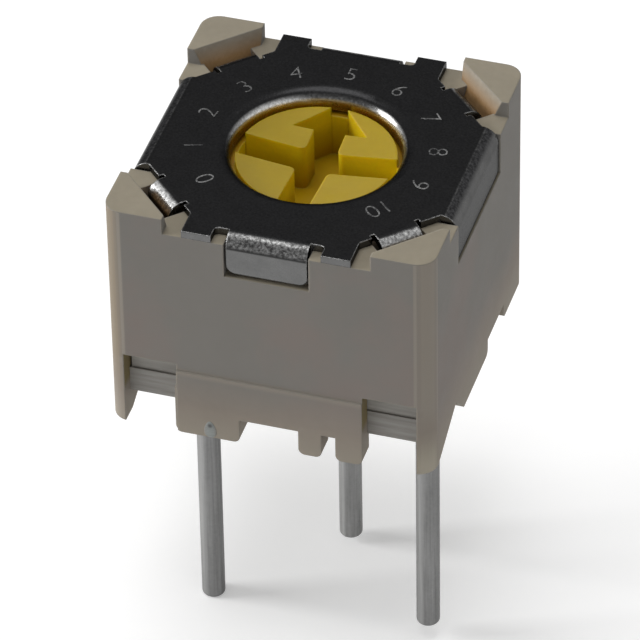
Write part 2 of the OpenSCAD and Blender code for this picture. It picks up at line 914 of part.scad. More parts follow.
// Resin poured into the pocket, round the feet and the leads
module sealing_resin() {
    color("#85837d")
        difference() {
            translate([-pocket_x, -pocket_y, resin_bottom_z])
                cube([2 * pocket_x, 2 * pocket_y, substrate_z0 - resin_bottom_z]);
            housing_feet();
            for (place = [[lead_1_x, lead_row_y], [lead_3_x, lead_row_y], [lead_2_x, lead_2_y]])
                shank(place[0], place[1], 0, substrate_z1);
            translate([lead_2_x, lead_2_y, substrate_z0 - over / 2])
                cylinder(r = shank_hole_r, h = over);
            solder_2_solid();
        }
}

housing();
cover();
rotor();
o_ring();
wiper();
substrate();
resistive_track();
end_electrode_1();
end_electrode_3();
collector_electrode();
lead_1();
lead_2();
lead_3();
solder_1();
solder_2();
solder_3();
sealing_resin();
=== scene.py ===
from collections import namedtuple
from functools import cached_property
from math import cos, radians, sin

import bmesh
import bpy
from mathutils import Matrix, Vector


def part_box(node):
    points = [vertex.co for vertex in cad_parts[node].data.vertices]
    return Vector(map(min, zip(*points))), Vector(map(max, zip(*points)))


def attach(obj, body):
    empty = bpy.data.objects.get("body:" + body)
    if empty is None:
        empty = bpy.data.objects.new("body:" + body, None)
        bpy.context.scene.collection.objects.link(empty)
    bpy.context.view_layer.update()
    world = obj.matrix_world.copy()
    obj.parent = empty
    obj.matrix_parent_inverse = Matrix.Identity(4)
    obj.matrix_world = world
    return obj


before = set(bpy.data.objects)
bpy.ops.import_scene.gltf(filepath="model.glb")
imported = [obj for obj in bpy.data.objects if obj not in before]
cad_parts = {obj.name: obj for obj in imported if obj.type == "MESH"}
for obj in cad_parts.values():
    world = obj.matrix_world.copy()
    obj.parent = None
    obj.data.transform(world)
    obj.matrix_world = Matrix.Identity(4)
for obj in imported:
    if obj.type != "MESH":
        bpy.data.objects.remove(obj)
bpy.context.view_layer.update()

bl_info = {
    "name": "Trimmer potentiometer",
    "version": (1, 0, 0),
    "blender": (4, 5, 0),
    "location": "3D View > Sidebar > Trimmer",
    "description": "Dresses a small square trimmer: its finishes, dial numbers and studio",
    "category": "Object",
}

MM = 0.001

# Places on the part

COVER_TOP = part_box("cover")[1].z
FEET_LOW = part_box("housing")[0].z
FEET_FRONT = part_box("housing")[0].y
FLOOR_Z = min(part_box(lead)[0].z for lead in ("lead_1", "lead_2", "lead_3"))

# Height of the step over the proud lower panel of the front
PANEL_TOP = 1.62 * MM
# Height of the upper edge of the two windows in the front wall
WINDOW_TOP = 1.77 * MM
# Lower, back and right limit of the brown on their jambs, and the width over which it sets in
JAMB_LOW = 0.8 * MM
JAMB_BACK = -2.9 * MM
JAMB_RIGHT = 3.2 * MM
JAMB_FADE = 0.2 * MM
# Radii just outside the drawn rim of the cover and the slotted head of the rotor
RIM_OUT = 2.15 * MM
HEAD_OUT = 1.69 * MM
# Width over which one finish gives way to the next at a sharp border
BORDER = 0.02 * MM

# Stage

FLOOR_REACH = 0.5
FLOOR_COLOUR = (0.86, 0.86, 0.86, 1.0)
FLOOR_GLOW = 0.3
WHITE = (1.0, 1.0, 1.0, 1.0)
WORLD_LIGHT = 0.28
WORLD_SEEN = 1.0
# Name, place, size and power of each lamp
LAMPS = (
    ("Top lamp", (-0.045, 0.03, 0.295), 0.2, 0.42),
    ("Left lamp", (-0.27, -0.06, 0.1), 0.12, 0.6),
)

# Camera, fitted to the photograph, with its focal length in pixels of a square picture

PICTURE_WIDTH = 640
FOCAL_LENGTH = 5832.872
SENSOR_WIDTH = 36
AZIMUTH = radians(17.66)
ELEVATION = radians(39.02)
ROLL = radians(-1.05)
DISTANCE = 120.056 * MM
SHIFT_RIGHT = 0.08 * MM
SHIFT_UP = -3.604 * MM

Facing = namedtuple("Facing", "across along up")
Place = namedtuple("Place", "x y z")


class TrimmerSizes(bpy.types.PropertyGroup):
    """Sizes of the pieces that the scene adds."""

    number_height: bpy.props.FloatProperty(
        name="Number height", description="Height of the dial numbers",
        default=0.42 * MM, unit="LENGTH", precision=5)
    number_radius: bpy.props.FloatProperty(
        name="Number radius", description="Distance of the dial numbers from the rotor's axis",
        default=2.5 * MM, unit="LENGTH", precision=5)
    number_step: bpy.props.FloatProperty(
        name="Number step", description="Angle between neighbouring dial numbers",
        default=radians(26.52), subtype="ANGLE")
    number_relief: bpy.props.FloatProperty(
        name="Number relief", description="Height of the dial numbers above the cover",
        default=0.006 * MM, unit="LENGTH", precision=6)
    number_count: bpy.props.IntProperty(
        name="Numbers", description="How many numbers the dial has", default=11, min=2, max=13)
    smear_x: bpy.props.FloatProperty(
        name="Smear place", description="Place in X of the smear of resin on the wide foot",
        default=-1.29 * MM, unit="LENGTH", precision=5)
    smear_width: bpy.props.FloatProperty(
        name="Smear width", description="Width of the smear of resin at its lower end",
        default=0.34 * MM, unit="LENGTH", precision=5)
    smear_height: bpy.props.FloatProperty(
        name="Smear height", description="Height of the smear of resin above the foot's lower face",
        default=0.42 * MM, unit="LENGTH", precision=5)
    smear_relief: bpy.props.FloatProperty(
        name="Smear relief", description="Height of the smear of resin above the face of the foot",
        default=0.015 * MM, unit="LENGTH", precision=6)


class TrimmerColours(bpy.types.PropertyGroup):
    """Colours of the finishes."""

    housing: bpy.props.FloatVectorProperty(
        name="Housing", description="Moulded plastic of the housing",
        default=(0.238, 0.225, 0.205), subtype="COLOR", min=0, max=1)
    rotor: bpy.props.FloatVectorProperty(
        name="Rotor", description="Moulded plastic of the rotor",
        default=(0.38, 0.265, 0.007), subtype="COLOR", min=0, max=1)
    # The face's colour is a painted dark reflection on polished metal.
    cover_dark: bpy.props.FloatVectorProperty(
        name="Cover face", description="Dark polished face of the cover",
        default=(0.016, 0.016, 0.0165), subtype="COLOR", min=0, max=1)
    # Base of the bare metal; its shades by facing are painted reflections.
    cover_bright: bpy.props.FloatVectorProperty(
        name="Cover bends", description="Bare metal on the bends of the cover",
        default=(0.6, 0.6, 0.595), subtype="COLOR", min=0, max=1)
    lead: bpy.props.FloatVectorProperty(
        name="Leads", description="Tinned wire of the leads",
        default=(0.2, 0.2, 0.198), subtype="COLOR", min=0, max=1)


def sizes():
    """The sizes that the scene holds."""
    return bpy.context.scene.trimmer_sizes


def colours():
    """The colours that the scene holds."""
    return bpy.context.scene.trimmer_colours


def tinted(colour, red, green, blue):
    """A colour with each of its channels made darker or lighter."""
    return (colour[0] * red, colour[1] * green, colour[2] * blue)


def shade(colour, amount):
    """A colour made darker or lighter by a factor, up to white."""
    return tuple(min(1.0, channel * amount) for channel in colour)


# Node trees

def new_node(tree, kind, values=None, **settings):
    """Adds a node of a kind, with its settings and its socket values."""
    node = tree.nodes.new(kind)
    for key, value in settings.items():
        setattr(node, key, value)
    for key, value in (values or {}).items():
        node.inputs[key].default_value = value
    return node


def new_group(name, inputs, outputs):
    """An empty shader group with named inputs, each with a default, and named outputs."""
    tree = bpy.data.node_groups.new(name, "ShaderNodeTree")
    for label, value in inputs:
        socket = tree.interface.new_socket(label, in_out="INPUT", socket_type="NodeSocketFloat")
        socket.default_value = value
    for label, kind in outputs:
        tree.interface.new_socket(label, in_out="OUTPUT", socket_type=kind)
    return tree, tree.nodes.new("NodeGroupInput"), tree.nodes.new("NodeGroupOutput")


def mottle_group():
    """Slow and fine noise together, as a value between Low and High."""
    tree, start, end = new_group(
        "Mottle",
        [("Scale", 1000.0), ("Fine", 0.5), ("Low", 0.0), ("High", 1.0)],
        [("Value", "NodeSocketFloat")])
    place = new_node(tree, "ShaderNodeTexCoord")
    slow = new_node(tree, "ShaderNodeTexNoise", {"Detail": 4.0, "Roughness": 0.55})
    tree.links.new(place.outputs["Object"], slow.inputs["Vector"])
    tree.links.new(start.outputs["Scale"], slow.inputs["Scale"])
    finer = new_node(tree, "ShaderNodeMath", {1: 9.0}, operation="MULTIPLY")
    tree.links.new(start.outputs["Scale"], finer.inputs[0])
    fine = new_node(tree, "ShaderNodeTexNoise", {"Detail": 2.0, "Roughness": 0.5})
    tree.links.new(place.outputs["Object"], fine.inputs["Vector"])
    tree.links.new(finer.outputs[0], fine.inputs["Scale"])
    blend = new_node(tree, "ShaderNodeMix", data_type="FLOAT")
    tree.links.new(start.outputs["Fine"], blend.inputs["Factor"])
    tree.links.new(slow.outputs["Fac"], blend.inputs[2])
    tree.links.new(fine.outputs["Fac"], blend.inputs[3])
    spread = new_node(tree, "ShaderNodeMapRange", {"From Min": 0.3, "From Max": 0.7})
    tree.links.new(blend.outputs[0], spread.inputs["Value"])
    tree.links.new(start.outputs["Low"], spread.inputs["To Min"])
    tree.links.new(start.outputs["High"], spread.inputs["To Max"])
    tree.links.new(spread.outputs["Result"], end.inputs["Value"])
    return tree


def soft_edge_group():
    """A rounded normal near edges, and a mask that is 1 on them."""
    tree, start, end = new_group(
        "Soft edge",
        [("Radius", 0.05 * MM)],
        [("Mask", "NodeSocketFloat"), ("Normal", "NodeSocketVector")])
    bevel = new_node(tree, "ShaderNodeBevel", samples=6)
    tree.links.new(start.outputs["Radius"], bevel.inputs["Radius"])
    surface = new_node(tree, "ShaderNodeNewGeometry")
    facing = new_node(tree, "ShaderNodeVectorMath", operation="DOT_PRODUCT")
    tree.links.new(bevel.outputs["Normal"], facing.inputs[0])
    tree.links.new(surface.outputs["Normal"], facing.inputs[1])
    mask = new_node(tree, "ShaderNodeMapRange",
                    {"From Min": 0.995, "From Max": 0.85, "To Min": 0.0, "To Max": 1.0})
    tree.links.new(facing.outputs["Value"], mask.inputs["Value"])
    tree.links.new(mask.outputs["Result"], end.inputs["Mask"])
    tree.links.new(bevel.outputs["Normal"], end.inputs["Normal"])
    return tree


def shared_group(label):
    """The group with this name, built the first time that it is asked for."""
    built = bpy.data.node_groups.get(label)
    return built or {"Mottle": mottle_group, "Soft edge": soft_edge_group}[label]()


class Finish:
    """A material under construction, with its Principled shader."""

    def __init__(self, name):
        self.material = bpy.data.materials.new(name)
        self.material.use_nodes = True
        self.tree = self.material.node_tree
        self.tree.nodes.clear()
        self.shader = self.add("ShaderNodeBsdfPrincipled")
        output = self.add("ShaderNodeOutputMaterial")
        self.link(self.shader.outputs["BSDF"], output.inputs["Surface"])

    def add(self, kind, values=None, **settings):
        """Adds a node to the material."""
        return new_node(self.tree, kind, values, **settings)

    def link(self, start, end):
        """Joins two sockets."""
        self.tree.links.new(start, end)

    def set(self, **values):
        """Sets the shader's own sockets."""
        for key, value in values.items():
            self.shader.inputs[key.replace("_", " ")].default_value = value

    def group(self, label, values):
        """Places a shared group with its own values."""
        return self.add("ShaderNodeGroup", values, node_tree=shared_group(label))

    def rounded(self, radius, grain_scale, grain_depth):
        """Soft edges and fine grain on the normal. Gives the mask of the edges."""
        self.edge = self.group("Soft edge", {"Radius": radius})
        bump = self.add("ShaderNodeBump", {"Strength": 1.0, "Distance": grain_depth})
        self.link(self.mottle(grain_scale, 0.6), bump.inputs["Height"])
        self.link(self.edge.outputs["Normal"], bump.inputs["Normal"])
        self.link(bump.outputs["Normal"], self.shader.inputs["Normal"])
        return self.edge.outputs["Mask"]

    def coat(self, colour, scale, fine, smooth, rough):
        """The colour of the surface, and a roughness that drifts between two values."""
        self.link(colour, self.shader.inputs["Base Color"])
        self.link(self.mottle(scale, fine, smooth, rough), self.shader.inputs["Roughness"])

    @cached_property
    def facing(self):
        """The direction that the surface faces, with its soft edges."""
        parts = self.add("ShaderNodeSeparateXYZ")
        self.link(self.edge.outputs["Normal"], parts.inputs[0])
        return Facing(*parts.outputs)

    @cached_property
    def place(self):
        """The place on the piece."""
        where = self.add("ShaderNodeTexCoord")
        parts = self.add("ShaderNodeSeparateXYZ")
        self.link(where.outputs["Object"], parts.inputs[0])
        return Place(*parts.outputs)

    @cached_property
    def slanted(self):
        """0 on faces square to the part's sides, and 0.5 on upright ones at 45 degrees to them."""
        return self.math("ABSOLUTE", self.product(self.facing.across, self.facing.along))

    def math(self, operation, first, second=None):
        """One step of arithmetic on sockets or numbers."""
        step = self.add("ShaderNodeMath", operation=operation)
        for socket, value in zip(step.inputs, (first, second)):
            if isinstance(value, bpy.types.NodeSocket):
                self.link(value, socket)
            elif value is not None:
                socket.default_value = value
        return step.outputs[0]

    def product(self, first, *others):
        """Masks or numbers multiplied together."""
        for other in others:
            first = self.math("MULTIPLY", first, other)
        return first

    def distance(self, first, second):
        """The distance that two coordinates at right angles make."""
        squares = [self.math("MULTIPLY", side, side) for side in (first, second)]
        return self.math("SQRT", self.math("ADD", *squares))

    def spread(self, value, low, high):
        """0 where the value is at low and 1 where it is at high."""
        mask = self.add("ShaderNodeMapRange",
                        {"From Min": low, "From Max": high, "To Min": 0.0, "To Max": 1.0})
        self.link(value, mask.inputs["Value"])
        return mask.outputs["Result"]

    def mottle(self, scale, fine, low=0.0, high=1.0):
        """Uneven blotches, as a value between low and high."""
        values = {"Scale": scale, "Fine": fine, "Low": low, "High": high}
        return self.group("Mottle", values).outputs["Value"]

    def streaks(self, scale, stretch):
        """Noise drawn out along some axes, from 0 to 1."""
        where = self.add("ShaderNodeTexCoord")
        turn = self.add("ShaderNodeMapping", {"Scale": stretch})
        noise = self.add("ShaderNodeTexNoise", {"Scale": scale, "Detail": 3.0, "Roughness": 0.6})
        self.link(where.outputs["Object"], turn.inputs["Vector"])
        self.link(turn.outputs["Vector"], noise.inputs["Vector"])
        return self.spread(noise.outputs["Fac"], 0.32, 0.68)

    def mix(self, factor, first, second):
        """A colour between two colours or sockets."""
        node = self.add("ShaderNodeMix", data_type="RGBA")
        if isinstance(factor, (int, float)):
            node.inputs["Factor"].default_value = factor
        else:
            self.link(factor, node.inputs["Factor"])
        for socket, value in ((node.inputs[6], first), (node.inputs[7], second)):
            if isinstance(value, bpy.types.NodeSocket):
                self.link(value, socket)
            else:
                socket.default_value = (*value, 1.0)
        return node.outputs[2]

    def between(self, mask, colour, low, high):
        """A colour that goes from one of its shades to another with a mask."""
        return self.mix(mask, shade(colour, low), shade(colour, high))

    def flecked(self, colour, scale, fine, low, high):
        """A colour in blotches between two of its shades."""
        return self.between(self.mottle(scale, fine), colour, low, high)


def paint(finish, *nodes):
    """Gives CAD nodes a finish."""
    for name in nodes:
        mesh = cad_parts[name].data
        mesh.materials.clear()
        mesh.materials.append(finish.material)


# Finish of the housing

def moulded_housing():
    """Warm plastic with paler feet, painted light that makes its upper faces and corners paler, painted
    highlights on its edges, and brown painted shade in the pockets behind the cover.
    """
    colour = tuple(colours().housing)
    finish = Finish("Moulded housing")
    edges = finish.rounded(radius=0.045 * MM, grain_scale=5000.0, grain_depth=0.0012 * MM)
    body = finish.flecked(colour, scale=420.0, fine=0.15, low=0.96, high=1.03)
    blush = finish.spread(finish.mottle(scale=260.0, fine=0.1), 0.45, 0.75)
    body = finish.mix(blush, body, tinted(colour, 1.07, 0.99, 0.98))
    # Painted light from above, partly the yellowed tone of the plastic: faces that look up are warmer and
    # lighter.
    lit_tops = finish.flecked(tinted(colour, 1.12, 1.05, 0.88), scale=700.0, fine=0.3, low=0.98, high=1.16)
    body = finish.mix(finish.spread(finish.facing.up, 0.2, 0.8), body, lit_tops)
    body = housing_corners(finish, body, colour)
    body = post_faces(finish, body)
    body = pale_feet(finish, body, colour)
    body = panel_step(finish, body, colour)
    body = window_jambs(finish, body)
    # Painted highlight: the soft edges are lighter.
    body = finish.mix(edges, body, tinted(colour, 1.22, 1.22, 1.17))
    finish.coat(body, scale=1500.0, fine=0.4, smooth=0.6, rough=0.72)
    finish.set(Specular_IOR_Level=0.14, Subsurface_Weight=0.12, Subsurface_Scale=0.15 * MM,
               Subsurface_Radius=(1.0, 0.85, 0.65))
    return finish


def housing_corners(finish, body, colour):
    """Painted light on the rounded corners, paler on those that face left, with a fine painted highlight
    line where each one meets its wall.
    """
    lit_from_left = finish.spread(finish.facing.across, 0.1, -0.2)
    # Painted light: corners that face left are paler.
    corner = finish.mix(lit_from_left, tinted(colour, 1.45, 1.37, 1.28), tinted(colour, 1.18, 1.05, 0.88))
    body = finish.mix(finish.spread(finish.slanted, 0.02, 0.4), body, corner)
    # Painted highlight: a fine light line along each corner's border.
    line = finish.product(
        finish.spread(finish.slanted, 0.02, 0.09),
        finish.spread(finish.slanted, 0.2, 0.1),
        finish.spread(finish.facing.up, 0.06, 0.02),
        0.8)
    return finish.mix(line, body, tinted(colour, 1.42, 1.36, 1.28))


def post_faces(finish, body):
    """Painted shade: brown low on the leaning inner faces of the posts, and painted light that makes them
    pale higher up.
    """
    # Brown is painted shade in the pockets; pale is painted light through the plastic.
    brown = finish.mix(finish.mottle(scale=1500.0, fine=0.4), (0.29, 0.165, 0.07), (0.4, 0.25, 0.12))
    pale = finish.mix(finish.mottle(scale=900.0, fine=0.4), (0.32, 0.28, 0.22), (0.42, 0.37, 0.3))
    low = finish.spread(finish.place.z, COVER_TOP + 0.15 * MM, COVER_TOP - 0.2 * MM)
    leaning = finish.product(
        finish.spread(finish.slanted, 0.3, 0.42),
        finish.spread(finish.facing.up, 0.08, 0.2))
    return finish.mix(leaning, body, finish.mix(low, pale, brown))


def pale_feet(finish, body, colour):
    """Rosy towards the feet, cream at their tips, and paler still at the tips on the right, which is
    painted light.
    """
    z = finish.place.z
    rosy = finish.flecked(tinted(colour, 1.2, 1.1, 1.02), scale=600.0, fine=0.2, low=0.96, high=1.12)
    body = finish.mix(finish.spread(z, FEET_LOW + 1.7 * MM, FEET_LOW + 0.7 * MM), body, rosy)
    tips = finish.product(finish.spread(z, FEET_LOW + 0.8 * MM, FEET_LOW), 0.8)
    body = finish.mix(tips, body, tinted(colour, 1.5, 1.42, 1.28))
    # Painted light: the tips that face right are lightened against their shade.
    right_tip_light = finish.product(
        finish.spread(finish.slanted, 0.05, 0.35),
        finish.spread(finish.facing.across, -0.1, 0.2),
        finish.spread(z, FEET_LOW + 1.1 * MM, FEET_LOW + 0.2 * MM))
    return finish.mix(right_tip_light, body, tinted(colour, 1.95, 1.88, 1.68))


def panel_step(finish, body, colour):
    """A painted highlight: a pale line along the top of the proud lower panel of the front."""
    line = finish.product(
        finish.spread(finish.place.z, PANEL_TOP - 0.14 * MM, PANEL_TOP - 0.05 * MM),
        finish.spread(finish.place.y, FEET_FRONT + 0.1 * MM, FEET_FRONT + 0.02 * MM),
        finish.spread(finish.place.z, PANEL_TOP + 0.08 * MM, PANEL_TOP + 0.02 * MM))
    return finish.mix(line, body, tinted(colour, 1.24, 1.17, 1.1))


def window_jambs(finish, body):
    """Olive brown on the jambs of the windows that face right."""
    jamb = finish.product(
        finish.spread(finish.place.z, WINDOW_TOP + 0.08 * MM, WINDOW_TOP - 0.02 * MM),
        finish.spread(finish.place.z, JAMB_LOW, JAMB_LOW + JAMB_FADE),
        finish.spread(finish.place.y, JAMB_BACK, JAMB_BACK - JAMB_FADE),
        finish.spread(finish.place.x, JAMB_RIGHT, JAMB_RIGHT - JAMB_FADE),
        finish.spread(finish.facing.across, 0.4, 0.8))
    return finish.mix(jamb, body, (0.23, 0.185, 0.095))


# Finish of the rotor

def moulded_rotor():
    """Yellow plastic, with painted light that makes the walls of its slot glow, painted highlights on its
    edges, and painted shade on walls that face front left, on the ring under the cover's rim, and that
    deepens towards the slot's floor.
    """
    colour = tuple(colours().rotor)
    finish = Finish("Moulded rotor")
    edges = finish.rounded(radius=0.05 * MM, grain_scale=6000.0, grain_depth=0.002 * MM)
    across, along, up = finish.facing
    x, y, z = finish.place
    body = finish.flecked(colour, scale=900.0, fine=0.3, low=0.93, high=1.06)
    # Painted light: the upright walls of the slot are lighter, in place of light through the plastic.
    wall = finish.flecked(tinted(colour, 2.05, 2.25, 1.0), scale=1400.0, fine=0.3, low=0.88, high=1.05)
    # Painted shade on walls that face front left.
    shaded_front_left = finish.product(finish.spread(across, -0.3, -0.8), finish.spread(along, 0.0, -0.4))
    wall = finish.mix(shaded_front_left, wall, tinted(colour, 1.7, 1.75, 1.0))
    body = finish.mix(finish.spread(up, 0.9, 0.4), body, wall)
    # Painted highlight: whitish soft edges.
    body = finish.mix(edges, body, tinted(colour, 1.3, 1.3, 3.0))
    # Painted shade: the step outside the head, under the cover's rim, is darker and browner.
    outside = finish.spread(finish.distance(x, y), HEAD_OUT, HEAD_OUT + BORDER)
    shaded_shoulder = finish.product(outside, finish.spread(up, 0.4, 0.8))
    body = finish.mix(shaded_shoulder, body, tinted(colour, 0.9, 0.7, 0.3))
    # Painted shade: darker towards the floor of the slot.
    top = max(vertex.co.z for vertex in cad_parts["rotor"].data.vertices)
    slot_floor_shade = finish.spread(z, top - 0.35 * MM, top - 1.2 * MM)
    body = finish.mix(slot_floor_shade, body, tinted(colour, 0.95, 0.85, 0.1))
    finish.coat(body, scale=2200.0, fine=0.4, smooth=0.34, rough=0.5)
    finish.set(Specular_IOR_Level=0.24, Subsurface_Weight=0.45, Subsurface_Scale=0.3 * MM,
               Subsurface_Radius=(1.0, 0.6, 0.03))
    return finish


# Finish of the cover

def folded_cover():
    """A painted dark reflection on the flat, and bare speckled metal where the sheet is bent down, in
    shades that are painted reflections.
    """
    dark = tuple(colours().cover_dark)
    bright = tuple(colours().cover_bright)
    finish = Finish("Folded cover")
    edges = finish.rounded(radius=0.035 * MM, grain_scale=5000.0, grain_depth=0.001 * MM)
    speckle = finish.spread(finish.mottle(scale=16000.0, fine=0.5), 0.35, 0.8)
    # Painted reflection: the flat face is dark.
    face = finish.flecked(dark, scale=2500.0, fine=0.8, low=0.8, high=1.3)
    # The shades of the bends and of the upright faces are painted reflections.
    folds = cover_folds(finish, speckle, dark, bright)
    outer = finish.mix(finish.spread(finish.facing.up, 0.985, 0.93), face, folds)
    outer = finish.mix(finish.spread(finish.facing.up, 0.12, 0.03), outer, upright_metal(finish, bright))
    outside = finish.spread(finish.distance(finish.place.x, finish.place.y), RIM_OUT, RIM_OUT + BORDER)
    body = finish.mix(outside, drawn_rim(finish, face, speckle, bright), outer)
    # Cut edges: bare metal from wear, with a painted glint.
    worn_and_glinting = finish.product(edges, outside)
    body = finish.mix(worn_and_glinting, body, finish.between(speckle, bright, 0.12, 0.6))
    finish.coat(body, scale=3000.0, fine=0.6, smooth=0.16, rough=0.32)
    finish.set(Metallic=1.0, Specular_Tint=(0.45, 0.45, 0.45, 1.0))
    return finish


def cover_folds(finish, speckle, dark, bright):
    """The bends of the front and back tabs, the side flanges and the corner tabs, in shades that are
    painted reflections.
    """
    across, along, up = finish.facing
    tab = finish.between(speckle, bright, 0.05, 0.4)
    # Painted reflection: the lower part of each tab's bend is dark.
    tab = finish.mix(finish.spread(up, 0.35, 0.12), tab, shade(bright, 0.05))

    # Painted reflection: the flange is dim, and dark and speckled where its bend starts.
    flange = finish.flecked(bright, scale=3000.0, fine=0.4, low=0.17, high=0.24)
    flange = finish.mix(finish.spread(up, 0.55, 0.8), flange, finish.between(speckle, dark, 1.2, 4.0))
    # Painted highlight: a speckled light line where the flange's bend starts.
    crease_glint = finish.mix(speckle, shade(dark, 2.0), shade(bright, 0.4))
    flange = finish.mix(finish.spread(up, 0.95, 0.965), flange, crease_glint)

    # Painted glints on the corner tabs, brighter on those that face left.
    lit_from_left = finish.spread(across, 0.2, -0.2)
    dim_reflection = finish.between(lit_from_left, bright, 0.15, 0.5)
    sparkles = finish.between(lit_from_left, bright, 0.8, 1.65)
    corner = finish.mix(speckle, dim_reflection, sparkles)
    # Painted reflection: the lower part of each corner tab is dark.
    corner = finish.mix(finish.spread(up, 0.35, 0.1), corner, shade(bright, 0.15))

    sideways = finish.math("ABSOLUTE", across)
    lengthways = finish.math("ABSOLUTE", along)
    on_the_side = finish.spread(finish.math("SUBTRACT", sideways, lengthways), 0.0, 0.2)
    straight = finish.mix(on_the_side, tab, flange)
    return finish.mix(finish.spread(finish.slanted, 0.02, 0.1), straight, corner)


def upright_metal(finish, bright):
    """The upright faces below the bends and the cut ends of the sheet, with a painted reflection that is
    darker on the sides than on the front.
    """
    grain = finish.mottle(scale=3000.0, fine=0.4)
    front = finish.between(grain, bright, 0.21, 0.27)
    side = finish.between(grain, bright, 0.12, 0.17)
    sideways = finish.math("ABSOLUTE", finish.facing.across)
    return finish.mix(finish.spread(sideways, 0.3, 0.6), front, side)


def drawn_rim(finish, face, speckle, bright):
    """The rim round the rotor: grey, with painted highlights at the back left and right, and a painted
    golden reflection of the rotor at its foot.
    """
    across, along, up = finish.facing
    sideways = finish.math("ABSOLUTE", across)
    # Painted highlight on the rim at the back left and right.
    lit = finish.product(finish.spread(sideways, 0.28, 0.55), finish.spread(along, 0.15, -0.35))
    grey = finish.between(speckle, bright, 0.06, 0.24)
    shiny = finish.between(speckle, bright, 0.6, 1.3)
    rim = finish.mix(finish.spread(up, 0.78, 0.52), face, finish.mix(lit, grey, shiny))
    # Painted reflection of the yellow rotor at the rim's foot.
    return finish.mix(finish.spread(up, 0.5, 0.25), rim, (0.34, 0.24, 0.09))


# Finishes of the leads and of the pieces seen in the windows

def tinned_wire(name, lit_brightness):
    """Drawn wire with fine streaks along it, a dull skin of tin and a painted highlight on its front left.
    """
    colour = shade(tuple(colours().lead), lit_brightness)
    finish = Finish(name)
    finish.rounded(radius=0.02 * MM, grain_scale=4000.0, grain_depth=0.003 * MM)
    drawn = finish.streaks(16000.0, (1.0, 1.0, 0.03))
    streaky = finish.between(drawn, colour, 0.72, 1.28)
    body = finish.mix(0.45, streaky, finish.flecked(colour, scale=1600.0, fine=0.5, low=0.78, high=1.15))
    # Painted highlight on the front left of the wire.
    highlight_band = finish.product(
        finish.spread(finish.facing.across, 0.0, -0.4),
        finish.spread(finish.facing.along, -0.2, -0.55))
    body = finish.mix(highlight_band, body, finish.between(drawn, colour, 1.45, 1.85))
    finish.coat(body, scale=2600.0, fine=0.5, smooth=0.26, rough=0.42)
    finish.set(Metallic=1.0, Specular_Tint=(0.75, 0.75, 0.75, 1.0))
    return finish


def fired_ceramic():
    """Grey fired ceramic with fine level streaks."""
    finish = Finish("Fired alumina")
    finish.rounded(radius=0.02 * MM, grain_scale=5000.0, grain_depth=0.003 * MM)
    streak = finish.streaks(9000.0, (0.08, 0.08, 1.0))
    body = finish.mix(streak, (0.265, 0.252, 0.228), (0.39, 0.375, 0.345))
    finish.coat(body, scale=1800.0, fine=0.5, smooth=0.5, rough=0.7)
    return finish


def poured_resin():
    """Grey sealing resin with fine level streaks on its edge and a mottled underside."""
    finish = Finish("Sealing resin")
    finish.rounded(radius=0.02 * MM, grain_scale=5000.0, grain_depth=0.004 * MM)
    streak = finish.streaks(9000.0, (0.08, 0.08, 1.0))
    side = finish.mix(streak, (0.245, 0.232, 0.21), (0.36, 0.345, 0.32))
    under = finish.mix(finish.mottle(scale=1500.0, fine=0.4), (0.22, 0.22, 0.2), (0.3, 0.3, 0.275))
    body = finish.mix(finish.spread(finish.facing.up, -0.3, -0.8), side, under)
    finish.coat(body, scale=1800.0, fine=0.5, smooth=0.4, rough=0.6)
    return finish


def resin_smear():
    """Pale resin with a dark speck near its top, fading into the foot at its sides."""
    size = sizes()
    finish = Finish("Resin smear")
    finish.rounded(radius=0.02 * MM, grain_scale=6000.0, grain_depth=0.004 * MM)
    body = finish.mix(finish.mottle(scale=4000.0, fine=0.5), (0.19, 0.2, 0.19), (0.3, 0.32, 0.305))
    speck_share = 0.75
    aside = finish.math("SUBTRACT", finish.place.x, size.smear_x)
    above = finish.math("SUBTRACT", finish.place.z, FEET_LOW + size.smear_height * speck_share)
    speck = finish.spread(finish.distance(aside, above), 0.07 * MM, 0.02 * MM)
    body = finish.mix(speck, body, (0.07, 0.072, 0.07))
    half = size.smear_width / 2
    fade = finish.spread(finish.math("ABSOLUTE", aside), half * 0.4, half * 0.9)
    body = finish.mix(fade, body, (0.26, 0.24, 0.215))
    finish.coat(body, scale=3000.0, fine=0.5, smooth=0.3, rough=0.5)
    return finish


# Finishes of the dial numbers and of the pieces inside

def worn_numbers():
    """Scratched metal that fades in parts into the painted dark reflection of the face, with patches of
    painted glint.
    """
    dark = tuple(colours().cover_dark)
    bright = tuple(colours().cover_bright)
    finish = Finish("Stamped numbers")
    finish.rounded(radius=0.01 * MM, grain_scale=9000.0, grain_depth=0.002 * MM)
    # Patches of wear and painted glint between shades of the cover's painted reflections.
    worn_and_glinting = finish.spread(finish.mottle(scale=2200.0, fine=0.45), 0.3, 0.85)
    body = finish.mix(worn_and_glinting, shade(dark, 2.0), shade(bright, 0.4))
    finish.coat(body, scale=5000.0, fine=0.5, smooth=0.25, rough=0.45)
    finish.set(Metallic=1.0)
    return finish


def plain_finish(name, colour, metallic, smooth, rough):
    """A finish with mottled colour, uneven gloss and fine grain."""
    finish = Finish(name)
    finish.rounded(radius=0.02 * MM, grain_scale=5400.0, grain_depth=0.004 * MM)
    body = finish.flecked(colour, scale=1800.0, fine=0.4, low=0.82, high=1.12)
    finish.coat(body, scale=1800.0, fine=0.5, smooth=smooth, rough=rough)
    finish.set(Metallic=metallic)
    return finish


# Pieces

